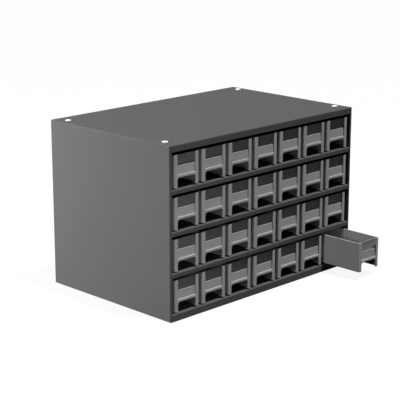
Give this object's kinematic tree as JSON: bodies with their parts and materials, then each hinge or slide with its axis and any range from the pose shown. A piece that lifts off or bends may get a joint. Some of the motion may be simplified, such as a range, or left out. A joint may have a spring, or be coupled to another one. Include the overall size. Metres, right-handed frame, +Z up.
{
  "type": "small parts cabinet",
  "caption": "Grey steel cabinet with rows of sliding plastic drawers for small parts; stands on a bench and stacks.",
  "frame": {"origin": "middle of the casing's underside, at the centre of the four stacking sockets", "axes": "+Z up, -Y towards the front where the drawers pull out, +X to the right seen from the front"},
  "size_m": [0.4318, 0.3542, 0.2812],
  "materials": {
    "casing_paint": "baked enamel, semi-gloss dark grey",
    "drawer_plastic": "moulded polystyrene, satin mid grey",
    "button_nylon": "moulded nylon, white"
  },
  "bodies": {
    "casing": {"wrapper": "casing_paint", "back_panel": "casing_paint", "base_shelf": "casing_paint", "shelf_1": "casing_paint", "shelf_2": "casing_paint", "shelf_3": "casing_paint", "stacking_buttons": "button_nylon"},
    "drawer_r1_c1": {"drawer_r1_c1": "drawer_plastic"},
    "drawer_r1_c2": {"drawer_r1_c2": "drawer_plastic"},
    "drawer_r1_c3": {"drawer_r1_c3": "drawer_plastic"},
    "drawer_r1_c4": {"drawer_r1_c4": "drawer_plastic"},
    "drawer_r1_c5": {"drawer_r1_c5": "drawer_plastic"},
    "drawer_r1_c6": {"drawer_r1_c6": "drawer_plastic"},
    "drawer_r1_c7": {"drawer_r1_c7": "drawer_plastic"},
    "drawer_r2_c1": {"drawer_r2_c1": "drawer_plastic"},
    "drawer_r2_c2": {"drawer_r2_c2": "drawer_plastic"},
    "drawer_r2_c3": {"drawer_r2_c3": "drawer_plastic"},
    "drawer_r2_c4": {"drawer_r2_c4": "drawer_plastic"},
    "drawer_r2_c5": {"drawer_r2_c5": "drawer_plastic"},
    "drawer_r2_c6": {"drawer_r2_c6": "drawer_plastic"},
    "drawer_r2_c7": {"drawer_r2_c7": "drawer_plastic"},
    "drawer_r3_c1": {"drawer_r3_c1": "drawer_plastic"},
    "drawer_r3_c2": {"drawer_r3_c2": "drawer_plastic"},
    "drawer_r3_c3": {"drawer_r3_c3": "drawer_plastic"},
    "drawer_r3_c4": {"drawer_r3_c4": "drawer_plastic"},
    "drawer_r3_c5": {"drawer_r3_c5": "drawer_plastic"},
    "drawer_r3_c6": {"drawer_r3_c6": "drawer_plastic"},
    "drawer_r3_c7": {"drawer_r3_c7": "drawer_plastic"},
    "drawer_r4_c1": {"drawer_r4_c1": "drawer_plastic"},
    "drawer_r4_c2": {"drawer_r4_c2": "drawer_plastic"},
    "drawer_r4_c3": {"drawer_r4_c3": "drawer_plastic"},
    "drawer_r4_c4": {"drawer_r4_c4": "drawer_plastic"},
    "drawer_r4_c5": {"drawer_r4_c5": "drawer_plastic"},
    "drawer_r4_c6": {"drawer_r4_c6": "drawer_plastic"},
    "drawer_r4_c7": {"drawer_r4_c7": "drawer_plastic"}
  },
  "joints": [
    {"name": "slide_r1_c1", "type": "slide", "parent": "casing", "child": "drawer_r1_c1", "axis": [0, -1, 0], "range_m": [0, 0.249]},
    {"name": "slide_r1_c2", "type": "slide", "parent": "casing", "child": "drawer_r1_c2", "axis": [0, -1, 0], "range_m": [0, 0.249]},
    {"name": "slide_r1_c3", "type": "slide", "parent": "casing", "child": "drawer_r1_c3", "axis": [0, -1, 0], "range_m": [0, 0.249]},
    {"name": "slide_r1_c4", "type": "slide", "parent": "casing", "child": "drawer_r1_c4", "axis": [0, -1, 0], "range_m": [0, 0.249]},
    {"name": "slide_r1_c5", "type": "slide", "parent": "casing", "child": "drawer_r1_c5", "axis": [0, -1, 0], "range_m": [0, 0.249]},
    {"name": "slide_r1_c6", "type": "slide", "parent": "casing", "child": "drawer_r1_c6", "axis": [0, -1, 0], "range_m": [0, 0.249]},
    {"name": "slide_r1_c7", "type": "slide", "parent": "casing", "child": "drawer_r1_c7", "axis": [0, -1, 0], "range_m": [0, 0.249]},
    {"name": "slide_r2_c1", "type": "slide", "parent": "casing", "child": "drawer_r2_c1", "axis": [0, -1, 0], "range_m": [0, 0.249]},
    {"name": "slide_r2_c2", "type": "slide", "parent": "casing", "child": "drawer_r2_c2", "axis": [0, -1, 0], "range_m": [0, 0.249]},
    {"name": "slide_r2_c3", "type": "slide", "parent": "casing", "child": "drawer_r2_c3", "axis": [0, -1, 0], "range_m": [0, 0.249]},
    {"name": "slide_r2_c4", "type": "slide", "parent": "casing", "child": "drawer_r2_c4", "axis": [0, -1, 0], "range_m": [0, 0.249]},
    {"name": "slide_r2_c5", "type": "slide", "parent": "casing", "child": "drawer_r2_c5", "axis": [0, -1, 0], "range_m": [0, 0.249]},
    {"name": "slide_r2_c6", "type": "slide", "parent": "casing", "child": "drawer_r2_c6", "axis": [0, -1, 0], "range_m": [0, 0.249]},
    {"name": "slide_r2_c7", "type": "slide", "parent": "casing", "child": "drawer_r2_c7", "axis": [0, -1, 0], "range_m": [0, 0.249]},
    {"name": "slide_r3_c1", "type": "slide", "parent": "casing", "child": "drawer_r3_c1", "axis": [0, -1, 0], "range_m": [0, 0.249]},
    {"name": "slide_r3_c2", "type": "slide", "parent": "casing", "child": "drawer_r3_c2", "axis": [0, -1, 0], "range_m": [0, 0.249]},
    {"name": "slide_r3_c3", "type": "slide", "parent": "casing", "child": "drawer_r3_c3", "axis": [0, -1, 0], "range_m": [0, 0.249]},
    {"name": "slide_r3_c4", "type": "slide", "parent": "casing", "child": "drawer_r3_c4", "axis": [0, -1, 0], "range_m": [0, 0.249]},
    {"name": "slide_r3_c5", "type": "slide", "parent": "casing", "child": "drawer_r3_c5", "axis": [0, -1, 0], "range_m": [0, 0.249]},
    {"name": "slide_r3_c6", "type": "slide", "parent": "casing", "child": "drawer_r3_c6", "axis": [0, -1, 0], "range_m": [0, 0.249]},
    {"name": "slide_r3_c7", "type": "slide", "parent": "casing", "child": "drawer_r3_c7", "axis": [0, -1, 0], "range_m": [0, 0.249]},
    {"name": "slide_r4_c1", "type": "slide", "parent": "casing", "child": "drawer_r4_c1", "axis": [0, -1, 0], "range_m": [0, 0.249]},
    {"name": "slide_r4_c2", "type": "slide", "parent": "casing", "child": "drawer_r4_c2", "axis": [0, -1, 0], "range_m": [0, 0.249]},
    {"name": "slide_r4_c3", "type": "slide", "parent": "casing", "child": "drawer_r4_c3", "axis": [0, -1, 0], "range_m": [0, 0.249]},
    {"name": "slide_r4_c4", "type": "slide", "parent": "casing", "child": "drawer_r4_c4", "axis": [0, -1, 0], "range_m": [0, 0.249]},
    {"name": "slide_r4_c5", "type": "slide", "parent": "casing", "child": "drawer_r4_c5", "axis": [0, -1, 0], "range_m": [0, 0.249]},
    {"name": "slide_r4_c6", "type": "slide", "parent": "casing", "child": "drawer_r4_c6", "axis": [0, -1, 0], "range_m": [0, 0.249]},
    {"name": "slide_r4_c7", "type": "slide", "parent": "casing", "child": "drawer_r4_c7", "axis": [0, -1, 0], "range_m": [-0.076, 0.173]}
  ]
}
